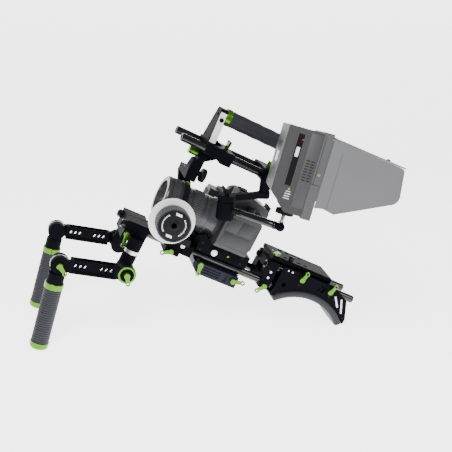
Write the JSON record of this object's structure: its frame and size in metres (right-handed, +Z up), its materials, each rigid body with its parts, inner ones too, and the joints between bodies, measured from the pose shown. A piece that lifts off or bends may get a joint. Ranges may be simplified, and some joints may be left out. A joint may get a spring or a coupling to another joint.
{
  "type": "cinema camera rig",
  "caption": "Shoulder camera rig on rods: folding handles, follow focus, camera, top handle, shoulder pad and a hooded monitor on a locking arm.",
  "frame": {"origin": "middle of the bounding box's footprint, on the floor that the grips and the shoulder pad's back edge stand on", "axes": "+X back along the rig towards the operator, +Y to the operator's right, +Z up; the rods slope down to the back by 23.9 degrees"},
  "size_m": [0.6353, 0.369, 0.436],
  "materials": {
    "black_anodised": "satin black anodised",
    "green_anodised": "bright lime green anodised",
    "silver": "bright machined",
    "slate_aluminium": "slate blue anodised",
    "rubber": "ribbed slate rubber",
    "foam": "moulded foam skin",
    "white_plastic": "white acetal",
    "black_plastic": "matt black",
    "camera_grey": "dark grey",
    "monitor_grey": "dark grey",
    "frame_grey": "mid grey",
    "hood_grey": "light grey sheet"
  },
  "bodies": {
    "chassis": {"lower_rods": "black_anodised", "rear_rods": "black_anodised", "top_rods": "black_anodised", "handle_mount": "black_anodised", "swivel_rings": "silver", "focus_bridge": "black_anodised", "focus_gearbox": "black_plastic", "camera_lens": "camera_grey", "camera_body": "camera_grey", "camera_plate": "black_anodised", "base_block": "slate_aluminium", "riser_block": "black_anodised", "handle_post": "black_anodised", "top_grip_sleeve": "rubber", "top_grip_trim": "green_anodised", "support_bracket": "black_anodised", "monitor_arm_clamp": "black_anodised"},
    "shoulder_pad": {"shoulder_frame": "black_anodised", "shoulder_cushion": "foam", "shoulder_deck": "black_anodised"},
    "monitor": {"monitor_case": "monitor_grey", "hood_frame": "frame_grey"},
    "grip_left": {"grip_head_left": "black_anodised", "grip_trim_left": "green_anodised", "grip_sleeve_left": "rubber"},
    "grip_right": {"grip_head_right": "black_anodised", "grip_trim_right": "green_anodised", "grip_sleeve_right": "rubber"},
    "handle_mount_lever": {"handle_mount_lever": "green_anodised"},
    "focus_bridge_lever": {"focus_bridge_lever": "green_anodised"},
    "marking_disc": {"marking_disc": "white_plastic"},
    "handwheel": {"handwheel": "black_plastic"},
    "drive_gear": {"drive_gear": "black_plastic"},
    "lens_gear_ring": {"lens_gear_ring": "black_plastic"},
    "shutter_button": {"shutter_button": "camera_grey"},
    "base_lever": {"base_lever": "green_anodised"},
    "base_lock_lever": {"base_lock_lever": "green_anodised"},
    "riser_lever": {"riser_lever": "green_anodised"},
    "deck_lock_lever": {"deck_lock_lever": "green_anodised"},
    "deck_lever_front": {"deck_lever_front": "green_anodised"},
    "deck_lever_rear": {"deck_lever_rear": "green_anodised"},
    "post_knob": {"post_knob": "green_anodised"},
    "support_height_knob": {"support_height_knob": "black_plastic"},
    "support_lock_knob": {"support_lock_knob": "green_anodised"},
    "arm_clamp_knob": {"arm_clamp_knob": "green_anodised"},
    "arm_link": {"arm_link": "black_anodised"},
    "arm_rod": {"arm_rod": "black_anodised"},
    "hub_knob": {"hub_knob": "black_plastic"},
    "monitor_lock_wheel": {"monitor_lock_wheel": "black_anodised"},
    "hood_top": {"hood_top": "hood_grey"},
    "hood_side_left": {"hood_side_left": "hood_grey"},
    "hood_side_right": {"hood_side_right": "hood_grey"},
    "knuckle_left": {"knuckle_left": "black_anodised"},
    "arm_left": {"arm_left": "black_anodised"},
    "arm_lever_left": {"arm_lever_left": "green_anodised"},
    "grip_lever_left": {"grip_lever_left": "green_anodised"},
    "knuckle_right": {"knuckle_right": "black_anodised"},
    "arm_right": {"arm_right": "black_anodised"},
    "arm_lever_right": {"arm_lever_right": "green_anodised"},
    "grip_lever_right": {"grip_lever_right": "green_anodised"}
  },
  "joints": [
    {"name": "swivel_left", "type": "hinge", "parent": "chassis", "child": "knuckle_left", "pos_m": [-0.14331, 0.01665, 0.15614], "axis": [0.4053, 0, 0.9142], "range_deg": [-20, 60]},
    {"name": "arm_pitch_left", "type": "hinge", "parent": "knuckle_left", "child": "arm_left", "pos_m": [-0.14796, -0.01334, 0.1407], "axis": [0, 1, 0], "range_deg": [-30, 40]},
    {"name": "grip_pitch_left", "type": "hinge", "parent": "arm_left", "child": "grip_left", "pos_m": [-0.2641, -0.01334, 0.16162], "axis": [0, 1, 0], "range_deg": [-15, 85]},
    {"name": "swivel_right", "type": "hinge", "parent": "chassis", "child": "knuckle_right", "pos_m": [-0.14331, 0.13665, 0.15614], "axis": [0.4053, 0, 0.9142], "range_deg": [-60, 20]},
    {"name": "arm_pitch_right", "type": "hinge", "parent": "knuckle_right", "child": "arm_right", "pos_m": [-0.14796, 0.16665, 0.1407], "axis": [0, 1, 0], "range_deg": [-30, 40]},
    {"name": "grip_pitch_right", "type": "hinge", "parent": "arm_right", "child": "grip_right", "pos_m": [-0.2641, 0.16665, 0.16162], "axis": [0, 1, 0], "range_deg": [-15, 85]},
    {"name": "focus_wheel_turn", "type": "hinge", "parent": "chassis", "child": "handwheel", "pos_m": [-0.06957, -0.01134, 0.23612], "axis": [0, 1, 0], "range_deg": [-150, 150]},
    {"name": "disc_turn", "type": "hinge", "parent": "chassis", "child": "marking_disc", "pos_m": [-0.06957, -0.01134, 0.23612], "axis": [0, 1, 0], "range_deg": [-180, 180]},
    {"name": "drive_gear_turn", "type": "hinge", "parent": "chassis", "child": "drive_gear", "pos_m": [-0.05722, 0.01464, 0.23065], "axis": [0.9142, 0, -0.4053], "range_deg": [-151, 151]},
    {"name": "lens_ring_turn", "type": "hinge", "parent": "chassis", "child": "lens_gear_ring", "pos_m": [-0.05115, 0.07666, 0.24436], "axis": [0.9142, 0, -0.4053], "range_deg": [-70, 70]},
    {"name": "shutter_press", "type": "slide", "parent": "chassis", "child": "shutter_button", "axis": [-0.4053, 0, -0.9142], "range_m": [0, 0.0018], "stiffness_N_per_m": 400, "springref_m": -0.001},
    {"name": "shoulder_slide", "type": "slide", "parent": "chassis", "child": "shoulder_pad", "axis": [0.9142, 0, -0.4053], "range_m": [-0.003, 0.04]},
    {"name": "link_turn", "type": "hinge", "parent": "chassis", "child": "arm_link", "pos_m": [0.10388, 0.02465, 0.26703], "axis": [0.0542, 0, 0.9985], "range_deg": [-4, 15]},
    {"name": "rod_turn", "type": "hinge", "parent": "arm_link", "child": "arm_rod", "pos_m": [0.02797, -0.00534, 0.27085], "axis": [0.0542, 0, 0.9985], "range_deg": [-60, 0]},
    {"name": "monitor_pan", "type": "hinge", "parent": "arm_rod", "child": "monitor", "pos_m": [0.11709, -0.07673, 0.27866], "axis": [0.2569, 0.1343, 0.9571], "range_deg": [-45, 25]},
    {"name": "hood_top_fold", "type": "hinge", "parent": "monitor", "child": "hood_top", "pos_m": [0.18747, -0.06727, 0.40211], "axis": [0.2029, 0.9607, -0.1893], "range_deg": [-90, 0]},
    {"name": "hood_left_fold", "type": "hinge", "parent": "monitor", "child": "hood_side_left", "pos_m": [0.15666, -0.15089, 0.36203], "axis": [0.2569, 0.1343, 0.9571], "range_deg": [-20, 85]},
    {"name": "hood_right_fold", "type": "hinge", "parent": "monitor", "child": "hood_side_right", "pos_m": [0.18873, 0.0009, 0.33212], "axis": [0.2569, 0.1343, 0.9571], "range_deg": [-85, 20]},
    {"name": "arm_lever_turn_left", "type": "hinge", "parent": "arm_left", "child": "arm_lever_left", "pos_m": [-0.14796, -0.02534, 0.1407], "axis": [0, 1, 0], "range_deg": [-50, 50]},
    {"name": "grip_lever_turn_left", "type": "hinge", "parent": "arm_left", "child": "grip_lever_left", "pos_m": [-0.2641, -0.02534, 0.16162], "axis": [0, 1, 0], "range_deg": [-50, 15]},
    {"name": "arm_lever_turn_right", "type": "hinge", "parent": "arm_right", "child": "arm_lever_right", "pos_m": [-0.14796, 0.17866, 0.1407], "axis": [0, 1, 0], "range_deg": [-50, 50]},
    {"name": "grip_lever_turn_right", "type": "hinge", "parent": "arm_right", "child": "grip_lever_right", "pos_m": [-0.2641, 0.17866, 0.16162], "axis": [0, 1, 0], "range_deg": [-50, 15]},
    {"name": "mount_lever_turn", "type": "hinge", "parent": "chassis", "child": "handle_mount_lever", "pos_m": [-0.1434, 0.03565, 0.19665], "axis": [0, 1, 0], "range_deg": [-5, 70]},
    {"name": "focus_lever_turn", "type": "hinge", "parent": "chassis", "child": "focus_bridge_lever", "pos_m": [-0.06234, 0.03515, 0.16236], "axis": [0, 1, 0], "range_deg": [-25, 45]},
    {"name": "base_lever_turn", "type": "hinge", "parent": "chassis", "child": "base_lever", "pos_m": [-0.00581, 0.03166, 0.13566], "axis": [0, 1, 0], "range_deg": [-45, 45]},
    {"name": "base_lock_turn", "type": "hinge", "parent": "chassis", "child": "base_lock_lever", "pos_m": [0.05758, 0.03166, 0.10099], "axis": [0, 1, 0], "range_deg": [-40, 40]},
    {"name": "riser_lever_turn", "type": "hinge", "parent": "chassis", "child": "riser_lever", "pos_m": [0.11998, 0.03565, 0.08755], "axis": [0, 1, 0], "range_deg": [-35, 35]},
    {"name": "deck_lock_turn", "type": "hinge", "parent": "shoulder_pad", "child": "deck_lock_lever", "pos_m": [0.14557, 0.04865, 0.14402], "axis": [0.4053, 0, 0.9142], "range_deg": [-40, 40]},
    {"name": "deck_front_turn", "type": "hinge", "parent": "shoulder_pad", "child": "deck_lever_front", "pos_m": [0.19374, 0.03115, 0.0997], "axis": [0, 1, 0], "range_deg": [-60, 60]},
    {"name": "deck_rear_turn", "type": "hinge", "parent": "shoulder_pad", "child": "deck_lever_rear", "pos_m": [0.25276, 0.03115, 0.07244], "axis": [0, 1, 0], "range_deg": [-60, 60]},
    {"name": "post_knob_turn", "type": "hinge", "parent": "chassis", "child": "post_knob", "pos_m": [0.04111, 0.07666, 0.34512], "axis": [0.4053, 0, 0.9142], "range_deg": [-180, 180]},
    {"name": "support_height_turn", "type": "hinge", "parent": "chassis", "child": "support_height_knob", "pos_m": [-0.01205, 0.07666, 0.29923], "axis": [0.9142, 0, -0.4053], "range_deg": [-180, 180]},
    {"name": "support_lock_turn", "type": "hinge", "parent": "chassis", "child": "support_lock_knob", "pos_m": [-0.01047, 0.07666, 0.33735], "axis": [0.9142, 0, -0.4053], "range_deg": [-180, 180]},
    {"name": "clamp_knob_turn", "type": "hinge", "parent": "chassis", "child": "arm_clamp_knob", "pos_m": [0.12125, 0.06466, 0.31123], "axis": [0.4053, 0, 0.9142], "range_deg": [-180, 180]},
    {"name": "hub_knob_turn", "type": "hinge", "parent": "arm_link", "child": "hub_knob", "pos_m": [0.02859, -0.00534, 0.28213], "axis": [0.0542, 0, 0.9985], "range_deg": [-180, 180]},
    {"name": "lock_wheel_turn", "type": "hinge", "parent": "arm_rod", "child": "monitor_lock_wheel", "pos_m": [0.11709, -0.07673, 0.27866], "axis": [0.2569, 0.1343, 0.9571], "range_deg": [-180, 180]}
  ],
  "couplings": [
    {"joint": "drive_gear_turn", "follows": "focus_wheel_turn", "ratio": 1},
    {"joint": "lens_ring_turn", "follows": "focus_wheel_turn", "ratio": -0.45977}
  ]
}
